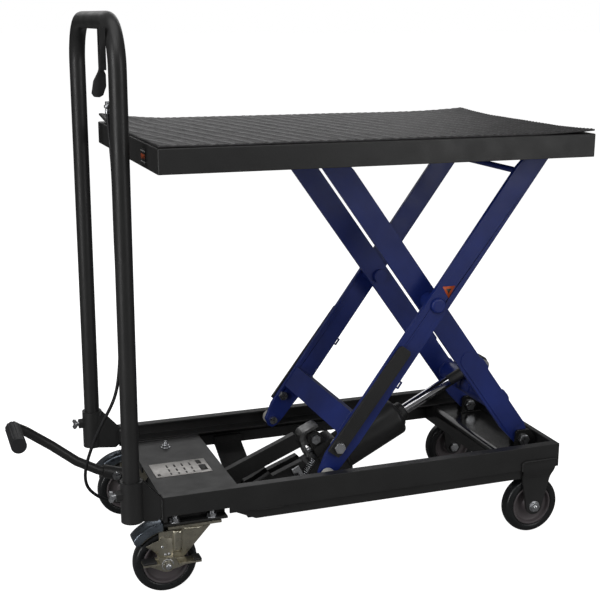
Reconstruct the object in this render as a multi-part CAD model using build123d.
from build123d import *
from math import atan2, cos, degrees, radians, sin, sqrt

import os

# Hydraulic scissor lift table on four casters. Millimetres, +Z up, floor at Z = 0.
# Dimensions are written from the middle of the table; X runs from the push handle to the fixed casters,
# left is +Y and right is -Y. Every node is moved by MIDDLE_X on export, so that the origin is on the floor
# under the middle of the whole cart.
MIDDLE_X = -96.9

# table
TABLE_LENGTH = 700.0
TABLE_WIDTH = 450.0
TABLE_TOP = 696.9
SKIRT_BOTTOM = 660.7
SHEET = 2.5
MAT = 4.0

# scissor: four flat arms, all pin to pin ARM
ARM = 656.0
ARM_WIDTH = 40.0
ANGLE = 54.18
FIXED_X = 318.9
PIN_Z = 152.0
INNER_Y = (95.0, 103.0)
OUTER_Y = (133.0, 141.0)
ROLLER_X = FIXED_X - ARM * cos(radians(ANGLE))
UPPER_Z = PIN_Z + ARM * sin(radians(ANGLE))
MIDDLE = ((FIXED_X + ROLLER_X) / 2, (PIN_Z + UPPER_Z) / 2)
LOCK_PIVOT = (48.0, 10.5)
LOCK_SLANT = 1.2
LOWER_ROLLER = 12.0
UPPER_ROLLER = 10.0

# base frame
FRAME = (-343.0, 349.0)
RAIL_Y = (143.0, 173.0)
RAIL_Z = (122.0, 163.0)
SHELF = 140.0

# hydraulic unit: everything is laid out along the ram, from the pin that joins it to the cross tube
RAM_PIN = (283.0, 266.0)
RAM_SLOPE = 26.93
RAM_TUBE = (274.0, 222.0)
BORE = 14.1
FULCRUM = (-331.5, 52.8)
SLOT_LEAN = 129.0
TAIL = (-466.8, 20.0)
SOCKET = ((-370.0, 138.4), (-404.0, 149.2))
CLAMP = (-383.6, 142.7)
PEDAL_ROD = 7.75

# casters
WHEEL = 51.0
TYRE_INSIDE = 36.0
WHEEL_Y = 150.0
FIXED_AXLE = 311.0
SWIVEL_X = -294.0
SWIVEL_AXLE = -338.0
AXLE = 5.0

# push handle
HANDLE_X = -390.0
HANDLE_Y = 168.0
HANDLE_TUBE = 13.0
HANDLE_TOP = 867.0
WING_Z = 174.0
LEVER_PIN = (-407.5, 814.0)

PRESS = 0.02
RUN = 0.06


def box(x, y, z):
    """A block between two limits on each axis."""
    size = (x[1] - x[0], y[1] - y[0], z[1] - z[0])
    return Pos(x[0], y[0], z[0]) * Box(*size, align=(Align.MIN, Align.MIN, Align.MIN))


def prism(points, y):
    """A plate: an outline in X and Z, thick from y[0] to y[1]."""
    wire = Wire.make_polygon([(px, y[0], pz) for px, pz in points], close=True)
    return extrude(Face(wire), amount=y[1] - y[0], dir=(0, 1, 0))


def rod(x, z, y, radius):
    """A round bar across the cart."""
    return Pos(x, (y[0] + y[1]) / 2, z) * Rot(90, 0, 0) * Cylinder(radius, y[1] - y[0])


def hexagon(x, z, y, across):
    """A bolt head or nut across the cart."""
    start = Plane(origin=(x, y[0], z), x_dir=(1, 0, 0), z_dir=(0, 1, 0))
    return extrude(start * RegularPolygon(across / sqrt(3), 6), amount=y[1] - y[0])


def lengthwise(x, y, z, radius):
    """A round bar along X."""
    return Pos((x[0] + x[1]) / 2, y, z) * Rot(0, 90, 0) * Cylinder(radius, x[1] - x[0])


def slanted(start, end, radius):
    """A round bar between two points in the middle plane of the cart."""
    plane = Plane(origin=(start[0], 0, start[1]), z_dir=(end[0] - start[0], 0, end[1] - start[1]))
    length = sqrt((end[0] - start[0]) ** 2 + (end[1] - start[1]) ** 2)
    return plane * Cylinder(radius, length, align=(Align.CENTER, Align.CENTER, Align.MIN))


def upright(x, y, z, radius):
    """A round bar along Z."""
    return Pos(x, y, (z[0] + z[1]) / 2) * Cylinder(radius, z[1] - z[0])


def strip(points, thickness, y, bend):
    """Flat bar bent along an open line in X and Z."""
    middle = (y[0] + y[1]) / 2
    path = FilletPolyline(*[(px, middle, pz) for px, pz in points], radius=bend)
    start = Plane(origin=path @ 0, x_dir=(0, 1, 0), z_dir=path % 0)
    return sweep(start * Rectangle(y[1] - y[0], thickness), path)


def pipe(points, radius, bend, inside=0.0):
    """Round bar or tube bent along a line."""
    path = FilletPolyline(*points, radius=bend)
    ring = Plane(origin=path @ 0, z_dir=path % 0)
    tube = sweep(ring * Circle(radius), path)
    if inside:
        tube -= sweep(ring * Circle(inside), path)
    return tube


def mirrored(part):
    return mirror(part, about=Plane.XZ)


def group(*parts):
    """Separate solids that make one node."""
    return Compound(children=[solid for part in parts for solid in part.solids()])


def both(part):
    """The same piece on the left and on the right."""
    return group(part, mirrored(part))


# ---------------------------------------------------------------- base frame


def base_rail():
    flange = box(FRAME, (157, 173), (160, RAIL_Z[1]))
    web = box(FRAME, (170, 173), (RAIL_Z[0], 160)) - box((-337, -238), (169, 174), (RAIL_Z[0], 131))
    shelf = box(FRAME, (RAIL_Y[0], 170), (137, SHELF))
    step = box((-231, 282), (165, 170), (RAIL_Z[0], 125))
    band = prism([(-231, 122), (282, 122), (282, 105), (-194, 105)], (165, 168))
    return flange + web + shelf + step + band


def front_deck_plate():
    x = (-334, -206)
    deck = box(x, (-131, 131), (137, SHELF))
    for side in (-1, 1):
        deck += box(x, sorted((side * 128, side * 131)), (117, 137))
        for edge in ((x[0], x[0] + 3), (x[1] - 3, x[1])):
            deck += box(edge, sorted((side * 24, side * 128)), (126, 137))
    return deck


def rear_cross_member():
    plate = strip([(263.5, 106), (263.5, 135.5), (349, 135.5)], 3, (-165, 165), 11)
    for side in (-1, 1):
        for inner, outer in ((88, 93), (105, 110)):
            y = sorted((side * inner, side * outer))
            ear = prism([(303, 137), (303, 166), (307, 170), (331, 170), (343, 152), (343, 137)], y)
            plate += ear - rod(FIXED_X, PIN_Z, (-120, 120), 6 + PRESS)
    return plate


def end_rail():
    plate = box((349, 352), (-173, 173), RAIL_Z)
    return plate + box((344, 349), (-157, 157), (160, RAIL_Z[1]))


def arm_pivot_pin():
    pin = rod(FIXED_X, PIN_Z, (88, 110), 6)
    return pin + hexagon(FIXED_X, PIN_Z, (110, 115), 18) + hexagon(FIXED_X, PIN_Z, (83, 88), 18)


def pump_anchor():
    half = [(0, 48), (42, 48), (161, 104), (165, 104), (165, 122), (159, 122), (159, 109), (40, 54), (0, 54)]
    outline = half + [(-y, z) for y, z in reversed(half[1:-1])]
    wire = Wire.make_polygon([(-168, y, z) for y, z in outline], close=True)
    strap = extrude(Face(wire), amount=50, dir=(1, 0, 0))
    tail_x, tail_z = ram_point(*TAIL)
    slot = box((-7.6, 7.6), (-60, 60), (-7, 7)) + rod(-7.6, 0, (-60, 60), 7) + rod(7.6, 0, (-60, 60), 7)
    slot = Pos(tail_x, 0, tail_z) * Rot(0, -SLOT_LEAN, 0) * slot
    for y in ((-30, -24), (24, 30)):
        ear = prism([(-166, 53), (-118, 53), (-122, 84), (-132, 94), (-152, 94), (-162, 84)], y)
        strap += ear - slot
    return strap


def caster_mount_plate():
    plate = box((-341, -240), (124, 169), (113, 117))
    rib = box((-341, -240), (148.5, 151.5), (117, 137))
    for x in (-323, -264):
        for y in (138, 162):
            plate -= upright(x, y, (112, 118), 4 + PRESS)
    return plate + rib


def swivel_plate():
    plate = box((-336, -251), (128, 172), (109, 113))
    for x in (-323, -264):
        for y in (138, 162):
            plate -= upright(x, y, (108, 114), 4 + PRESS)
    kingpin = upright(SWIVEL_X, WHEEL_Y, (99.5, 109), 6) + upright(SWIVEL_X, WHEEL_Y, (98, 101.5), 9)
    return plate + kingpin


def plate_bolt(x, y):
    nut = Pos(x, y, 117) * extrude(RegularPolygon(7.5, 6), amount=6.5)
    return nut + upright(x, y, (109, 129), 4)


def base_bolts():
    bolts = [plate_bolt(x, side * y) for side in (-1, 1) for x in (-323, -264) for y in (138, 162)]
    deck = Pos(-276, 93, SHELF) * extrude(RegularPolygon(6.5, 6), amount=4) + upright(-276, 93, (144, 148), 3.5)
    return group(*bolts, deck)


# ---------------------------------------------------------------- push handle


def handle_socket():
    cheek = [(HANDLE_X, 196), (-376, 197), (-343, 160), (-343, 135), (-352, 127), (HANDLE_X, 131)]
    body = upright(HANDLE_X, HANDLE_Y, (131, 196), 17)
    for y in ((154, 157), (170, 173)):
        body += prism(cheek, y)
    body += box((-380, -353), (157, 170), (130, 133))
    body += box((-346, -343), (144, 173), (141, 160))
    nut = Plane(origin=(-405, HANDLE_Y, WING_Z), z_dir=(-1, 0, 0)) * RegularPolygon(9, 6)
    body += extrude(nut, amount=9)
    body -= upright(HANDLE_X, HANDLE_Y, (134, 200), HANDLE_TUBE + PRESS)
    body -= lengthwise((-420, -400), HANDLE_Y, WING_Z, 4 + RUN)
    return body


def push_handle():
    corners = [(HANDLE_X, y, z) for y, z in
               ((-HANDLE_Y, 134), (-HANDLE_Y, HANDLE_TOP), (HANDLE_Y, HANDLE_TOP), (HANDLE_Y, 134))]
    return pipe(corners, HANDLE_TUBE, 68, 11.4)


def wing_screw():
    screw = lengthwise((-421, -403.1), HANDLE_Y, WING_Z, 4)
    outline = [(-416, -3), (-416, 3), (-419, 8), (-423, 8.5), (-425, 5), (-422.5, 0), (-425, -5), (-423, -8.5),
               (-419, -8)]
    wire = Wire.make_polygon([(x, HANDLE_Y - 2.5, WING_Z + z) for x, z in outline], close=True)
    return screw + extrude(Face(wire), amount=5, dir=(0, 1, 0))


def lever_bracket():
    bracket = box((-405.5, -403.1), (-158, -142), (822, 858))
    for y in ((-158, -155.6), (-144.4, -142)):
        bracket += box((-411.5, -403.1), y, (800, 858))
    return bracket + rod(*LEVER_PIN, (-159, -141), 2.5)


def release_lever():
    outline = [(-411, 821), (-406.2, 821), (-405.9, 800), (-403.5, 794), (-403.5, 778), (-408, 766), (-413, 763),
               (-420, 763.5), (-423, 768), (-420, 785), (-413.5, 797), (-411.5, 803)]
    return prism(outline, (-155, -145)) - rod(*LEVER_PIN, (-165, -135), 2.5 + RUN)


def release_cable():
    points = [(-402.5, -150, 757), (-402, -150.5, 728), (-399.6, -153.8, 680), (-398.6, -154.4, 600),
              (-397.5, -153.6, 500), (-396.2, -152, 420), (-398, -148, 370), (-407, -139, 315), (-420, -130, 284),
              (-432.5, -118, 251), (-442, -105, 217), (-446, -92, 186), (-442, -80, 160), (-427, -66, 137),
              (-411, -56, 123), (-380, -47, 110), (-330, -43, 101), (-250, -41, 99), (-120, -38, 101),
              (-72, -34, 108)]
    path = Spline(*points, tangents=[(0, 0, -1), (1, 0, 0.05)])
    return sweep(Plane(origin=path @ 0, z_dir=path % 0) * Circle(2.5), path)


# ---------------------------------------------------------------- scissor arms


def on_inner(part):
    """Places a piece laid out along -X from the fixed lower pin."""
    return Pos(FIXED_X, 0, PIN_Z) * Rot(0, ANGLE, 0) * part


def on_outer(part):
    """Places a piece laid out along +X from the lower roller axle."""
    return Pos(ROLLER_X, 0, PIN_Z) * Rot(0, -ANGLE, 0) * part


def inner_arm():
    half = ARM_WIDTH / 2
    outline = [(0, -14), (-42, -half), (-ARM, -half), (-ARM - 12, -12), (-ARM - 9.5, 0), (-ARM - 7, 6),
               (-ARM - 3, 9), (-ARM, 9.8), (-ARM + 70, half), (-22, half), (0, 14)]
    arm = prism(outline, INNER_Y) + rod(0, 0, INNER_Y, 14)
    doubler = prism([(-26, -15), (-190, -15), (-190, 15), (-26, 15)], (103, 104.5)) + rod(-190, 0, (103, 104.5), 15)
    arm += doubler
    for start in (-78, -150):
        arm += prism([(start, half), (start - 24, half), (start - 20, half + 3), (start - 4, half + 3)], (96, 102))
    arm -= rod(0, 0, (80, 120), 6 + RUN)
    arm -= rod(-ARM / 2, 0, (80, 120), 8 + PRESS)
    arm -= rod(-ARM, 0, (80, 120), 5 + PRESS)
    return on_inner(arm)


def ram_cross_tube():
    tube = rod(*RAM_TUBE, (-95, 95), 19) - rod(*RAM_TUBE, (-90, 90), 16)
    lug = [(-21, -3), (-12, 46), (-6, 57), (8, 57), (15, 48), (18, 2)]
    for y in ((-20, -12), (12, 20)):
        plate = prism([(RAM_TUBE[0] + x, RAM_TUBE[1] + z) for x, z in lug], y)
        plate -= rod(*RAM_TUBE, (-30, 30), 18)
        tube += plate - rod(*RAM_PIN, (-30, 30), 8 + PRESS)
    return tube


def ram_pin():
    return rod(*RAM_PIN, (-22, 22), 8) + rod(*RAM_PIN, (20.2, 23), 10.5) + rod(*RAM_PIN, (-23, -20.2), 10.5)


def mid_pivot_bolt():
    bolt = rod(-ARM / 2, 0, (90, 143), 8) + rod(-ARM / 2, 0, (88, 95), 12)
    head = rod(-ARM / 2, 0, (141.4, 147), 13)
    return on_inner(bolt + fillet(head.edges().sort_by(Axis.Y)[-1], 4))


def upper_roller_axle():
    return on_inner(rod(-ARM, 0, (92, 120.5), 5) + rod(-ARM, 0, (89, 95), 7))


def outer_arm():
    half = ARM_WIDTH / 2
    outline = [(-12, -8), (-4, -13), (10, -15), (40, -17), (70, -half), (ARM, -half), (ARM + 12, -12), (ARM + 9.5, 0),
               (ARM + 7, 6), (ARM + 3, 9), (ARM, 9.8), (ARM - 70, half), (26, half), (-6, 12), (-13, 0)]
    arm = prism(outline, OUTER_Y)
    arm += rod(ARM / 2, 0, (104.7, OUTER_Y[0]), 15)
    arm += box((178, 192), (136, 139), (-half - 6, -half)) - box((181, 189), (130, 142), (-half - 3.5, -half - 1))
    arm -= rod(0, 0, (120, 150), 5 + PRESS)
    arm -= rod(ARM / 2, 0, (100, 150), 8 + RUN)
    arm -= rod(ARM, 0, (120, 150), 6 + RUN)
    arm -= rod(*LOCK_PIVOT, (120, 150), 5 + PRESS)
    return on_outer(arm)


def outer_cross_tube():
    tube = box((66, 106), (-133, 133), (-20, 20)) - box((69, 103), (-130, 130), (-17, 17))
    return on_outer(tube)


def tie_rod():
    return on_outer(rod(586, 2, (-133, 133), 5))


def lower_roller_axle():
    return on_outer(rod(0, 0, (129, 158), 5) + rod(0, 0, (126, OUTER_Y[0]), 7))


def lock_bar():
    bar = prism([(-15, -10), (-15, 12), (189, 12), (193, 8), (193, -8), (189, -12), (-8, -12)], (141.3, 147.3))
    bar -= rod(0, 0, (130, 150), AXLE + RUN)
    return on_outer(Pos(LOCK_PIVOT[0], 0, LOCK_PIVOT[1]) * Rot(0, LOCK_SLANT, 0) * bar)


def lock_bar_bolt():
    shank = rod(*LOCK_PIVOT, (130, 147.5), 5)
    return on_outer(shank + hexagon(*LOCK_PIVOT, (147.5, 153.5), 17) + hexagon(*LOCK_PIVOT, (127, 133), 15))


def roller(x, z, y, radius):
    wheel = rod(x, z, y, radius)
    wheel = chamfer(wheel.edges(), 0.8)
    return wheel - rod(x, z, (y[0] - 1, y[1] + 1), AXLE + RUN)


# ---------------------------------------------------------------- table


def table_pan():
    half_x = TABLE_LENGTH / 2
    half_y = TABLE_WIDTH / 2
    outside = box((-half_x, half_x), (-half_y, half_y), (SKIRT_BOTTOM, TABLE_TOP))
    outside = fillet(outside.edges().filter_by(Axis.Z), 3)
    outside = fillet(outside.faces().sort_by(Axis.Z)[-1].edges(), 2)
    inside = box((-half_x + SHEET, half_x - SHEET), (-half_y + SHEET, half_y - SHEET),
                 (SKIRT_BOTTOM - 1, TABLE_TOP - SHEET))
    return outside - inside


def rubber_mat():
    mat = box((-348, 348), (-223, 223), (TABLE_TOP, TABLE_TOP + MAT))
    return fillet(mat.edges().filter_by(Axis.Z), 4)


def table_track():
    under = TABLE_TOP - SHEET
    return box((-346, -6), (121, 124), (670, under)) + box((-346, -6), (105, 121), (670, 673))


def table_pivot_bracket():
    under = TABLE_TOP - SHEET
    outline = [(298, under), (340, under), (340, 680), (331, 668), (307, 668), (298, 680)]
    hole = rod(FIXED_X, UPPER_Z, (100, 160), 6 + PRESS)
    return group(prism(outline, (126, 131)) - hole, prism(outline, (143, 148)) - hole)


def table_pivot_pin():
    return rod(FIXED_X, UPPER_Z, (126, 148), 6) + rod(FIXED_X, UPPER_Z, (148, 152), 8.5) + rod(
        FIXED_X, UPPER_Z, (122, 126), 8.5)


# ---------------------------------------------------------------- hydraulic unit


def ram_point(along, above):
    """A point given along the ram and above it, in X and Z."""
    slope = radians(RAM_SLOPE)
    return (RAM_PIN[0] + along * cos(slope) - above * sin(slope),
            RAM_PIN[1] + along * sin(slope) + above * cos(slope))


def on_ram(part):
    """Places a piece laid out along the ram."""
    return Pos(RAM_PIN[0], 0, RAM_PIN[1]) * Rot(0, -RAM_SLOPE, 0) * part


def rod_head():
    head = rod(0, 0, (-11, 11), 14) + lengthwise((-66.6, -6), 0, 0, 10)
    return on_ram(head - rod(0, 0, (-15, 15), 8 + RUN))


def ram_rod():
    return on_ram(lengthwise((-230, -66.6), 0, 0, 10) + lengthwise((-239, -229), 0, 0, BORE - 0.05))


def pump_cylinder():
    body = lengthwise((-300, -179), 0, 0, 34)
    body = fillet(body.edges().sort_by(Axis.X)[-1], 7)
    gland = lengthwise((-180, -165), 0, 0, 18)
    gland = chamfer(gland.edges().sort_by(Axis.X)[-1], 2)
    body += gland
    body -= lengthwise((-301, -184), 0, 0, BORE)
    body -= lengthwise((-190, -160), 0, 0, 10 + RUN)
    return on_ram(body)


def pump_base():
    block = [(-300, -31), (-300, 36), (-308, 40.5), (-343, 40.5), (-343, 22), (-366, 22), (-370, 34), (-428, 40),
             (-429, 46), (-456, 45), (-472, 46), (-476, 36), (-466, 25), (-440, 14), (-366, -6), (-345, -26)]
    base = prism(block, (-20, 20)) + prism([(-300, -31), (-300, 36), (-343, 22), (-343, -24)], (-30, 30))
    base += rod(*TAIL, (-20, 20), 12)
    base -= prism([(-366, 24), (-372, 27), (-490, 27), (-490, 60), (-366, 60)], (-8, 8))
    for y in ((-14, -9), (9, 14)):
        base += prism([(-346, 36), (-316, 36), (-322, 58), (-341, 58)], y)
        base += rod(*FULCRUM, y, 13)
    base -= lengthwise((-332, -299), 0, 0, BORE)
    base -= lengthwise((-344, -312), 0, 34.5, 5 + RUN)
    base -= rod(*FULCRUM, (-40, 40), AXLE + PRESS)
    base -= rod(*TAIL, (-40, 40), 6 + PRESS)
    return on_ram(base)


def pump_pins():
    tail = rod(*TAIL, (-33, 33), 6)
    fulcrum = rod(*FULCRUM, (-17, 17), AXLE) + hexagon(*FULCRUM, (-19, -14), 15) + hexagon(*FULCRUM, (14, 19), 15)
    return group(on_ram(tail), on_ram(fulcrum))


def pump_plunger():
    return on_ram(lengthwise((-352.7, -319), 0, 34.5, 5))


def release_valve():
    seat = (-388.0, 12.0)
    valve = rod(*seat, (-27, -20.2), 8)
    arm = prism([(-396, 4), (-380, 4), (-381, 34), (-395, 34)], (-30, -26))
    return on_ram(valve + arm)


def pedal_yoke():
    bow = strip([(-316, 72), (-354, 74), (-356, 29)], 5, (-14, 14), 12)
    web = prism([(-353, 72), (-322, 71), (-324, 58), (-336, 44), (-354, 48)], (-5, 5))
    hub = rod(*FULCRUM, (-8.8, 8.8), 11)
    return on_ram((bow + web + hub) - rod(*FULCRUM, (-20, 20), AXLE + RUN))


def pedal_lever():
    bar = strip([(-63.5, 161.9), (-183.5, 112.5), (-275, 75), (-325, 88), (-371, 137)], 28, (-6, 6), 20)
    yoke_side = on_ram(box((-358.4, -300), (-20, 20), (0, 100)))
    lever = bar - yoke_side + slanted(SOCKET[0], SOCKET[1], 11)
    lever -= slanted((-374, 139.67), (-414, 152.4), PEDAL_ROD + PRESS)
    return lever - rod(*CLAMP, (-20, 0), 3 + PRESS)


def pedal_tube():
    points = [(-375, 0, 140), (-410, 0, 151.1), (-445, 0, 171), (-484, 0, 203), (-523, 0, 232), (-543.8, 0, 244),
              (-543.8, -80, 244)]
    return pipe(points, PEDAL_ROD, 12)


def pedal_sleeve():
    x, z = -543.8, 244
    sleeve = rod(x, z, (-95, -13), 12)
    for step in range(12):
        turn = radians(step * 30)
        sleeve -= rod(x + 13 * cos(turn), z + 13 * sin(turn), (-88, -13), 1.7)
    return sleeve - rod(x, z, (-82, 0), PEDAL_ROD + PRESS)


def pedal_clamp_bolt():
    return rod(*CLAMP, (-17, -11.2), 6.4) + rod(*CLAMP, (-12, -PEDAL_ROD - 0.15), 3)


# ---------------------------------------------------------------- casters


def wheel(x, y):
    """Tyre and hub on the same axle; two touching solids."""
    tyre = rod(x, WHEEL, (y - 12, y + 12), WHEEL)
    tyre = fillet(tyre.edges(), 5) - rod(x, WHEEL, (y - 13, y + 13), TYRE_INSIDE)
    hub = rod(x, WHEEL, (y - 11.4, y + 11.4), TYRE_INSIDE) - rod(x, WHEEL, (y + 4, y + 12), 30)
    hub -= rod(x, WHEEL, (y - 12, y - 4), 30)
    hub += rod(x, WHEEL, (y - 13.4, y + 13.4), 11)
    hub -= rod(x, WHEEL, (y - 20, y + 20), AXLE + RUN)
    return group(tyre, hub)


def axle_bolt(x, reach):
    bolt = rod(x, WHEEL, (130, reach), AXLE)
    return bolt + hexagon(x, WHEEL, (127, 133), 15) + hexagon(x, WHEEL, (reach, reach + 5), 15)


def fixed_fork():
    fork = box((281, 347), (133, 167), (131, 134))
    for y in ((133, 136), (164, 167)):
        fork += prism([(281, 131), (347, 131), (FIXED_AXLE + 15, 46), (FIXED_AXLE - 15, 46)], y)
        fork += rod(FIXED_AXLE, WHEEL, y, 15)
    return fork - rod(FIXED_AXLE, WHEEL, (120, 180), AXLE + PRESS)


def swivel_fork():
    fork = box((-318, -270), (133, 167), (103, 106)) + upright(SWIVEL_X, WHEEL_Y, (105, 108.6), 22)
    for y in ((133, 136), (164, 167)):
        fork += prism([(-350, 104), (-318, 106), (-268, 106), (SWIVEL_AXLE + 12, 43), (SWIVEL_AXLE - 12, 46)], y)
        fork += rod(SWIVEL_AXLE, WHEEL, y, 13)
    shoe = box((-376, -340), (138, 164), (80, 104.5)) - rod(SWIVEL_AXLE, WHEEL, (120, 180), WHEEL + 1.5)
    fork += shoe.solids().sort_by(Axis.X)[0]
    fork -= upright(SWIVEL_X, WHEEL_Y, (90, 120), 6 + RUN)
    fork -= rod(SWIVEL_AXLE, WHEEL, (120, 180), AXLE + PRESS)
    return group(*fork.solids(), axle_bolt(SWIVEL_AXLE, 171.5))


def brake_pedal():
    plate = rod(SWIVEL_AXLE, WHEEL, (168, 171), 12)
    plate += prism([(-378, 58), (-362, 66), (-338, 63), (-300, 58), (-288, 60), (-288, 54), (-320, 44), (-344, 40)],
                   (168, 171))
    plate += box((-379, -352), (168, 188), (60, 63)) + box((-324, -288), (168, 188), (56, 59))
    return plate - rod(SWIVEL_AXLE, WHEEL, (160, 190), AXLE + RUN)


# ---------------------------------------------------------------- all nodes

left = {
    "base_rail_left": base_rail(),
    "inner_arm_left": inner_arm(),
    "outer_arm_left": outer_arm(),
    "lock_bar_left": lock_bar(),
    "wing_screw_left": wing_screw(),
    "swivel_fork_left": swivel_fork(),
    "brake_pedal_left": brake_pedal(),
    "wheel_swivel_left": wheel(SWIVEL_AXLE, WHEEL_Y),
    "wheel_fixed_left": wheel(FIXED_AXLE, WHEEL_Y),
}
nodes = dict(left)
for name, part in left.items():
    nodes[name.replace("_left", "_right")] = mirrored(part)

nodes.update({
    "front_deck_plate": front_deck_plate(),
    "rear_cross_member": rear_cross_member(),
    "end_rail": end_rail(),
    "arm_pivot_pins": both(arm_pivot_pin()),
    "pump_anchor": pump_anchor(),
    "handle_sockets": both(handle_socket()),
    "caster_mount_plates": both(caster_mount_plate()),
    "swivel_caster_plates": both(swivel_plate()),
    "base_bolts": base_bolts(),
    "fixed_caster_forks": both(fixed_fork()),
    "fixed_axle_bolts": both(axle_bolt(FIXED_AXLE, 169)),
    "push_handle": push_handle(),
    "lever_bracket": lever_bracket(),
    "release_lever": release_lever(),
    "release_cable": release_cable(),
    "ram_cross_tube": ram_cross_tube(),
    "ram_pin": ram_pin(),
    "mid_pivot_bolts": both(mid_pivot_bolt()),
    "upper_roller_axles": both(upper_roller_axle()),
    "upper_rollers": both(roller(ROLLER_X, UPPER_Z, (106, 118), UPPER_ROLLER)),
    "outer_cross_tube": outer_cross_tube(),
    "tie_rod": tie_rod(),
    "lower_roller_axles": both(lower_roller_axle()),
    "lower_rollers": both(roller(ROLLER_X, PIN_Z, (144, 156), LOWER_ROLLER)),
    "lock_bar_bolts": both(lock_bar_bolt()),
    "table_pan": table_pan(),
    "rubber_mat": rubber_mat(),
    "table_tracks": both(table_track()),
    "table_pivot_brackets": both(table_pivot_bracket()),
    "table_pivot_pins": both(table_pivot_pin()),
    "ram_rod": ram_rod(),
    "rod_head": rod_head(),
    "pump_cylinder": pump_cylinder(),
    "pump_base": pump_base(),
    "pump_pins": pump_pins(),
    "pump_plunger": pump_plunger(),
    "release_valve": release_valve(),
    "pedal_yoke": pedal_yoke(),
    "pedal_lever": pedal_lever(),
    "pedal_tube": pedal_tube(),
    "pedal_sleeve": pedal_sleeve(),
    "pedal_clamp_bolt": pedal_clamp_bolt(),
})

os.makedirs("parts", exist_ok=True)
for name, part in nodes.items():
    export_step(Pos(-MIDDLE_X, 0, 0) * part, f"parts/{name}.step")
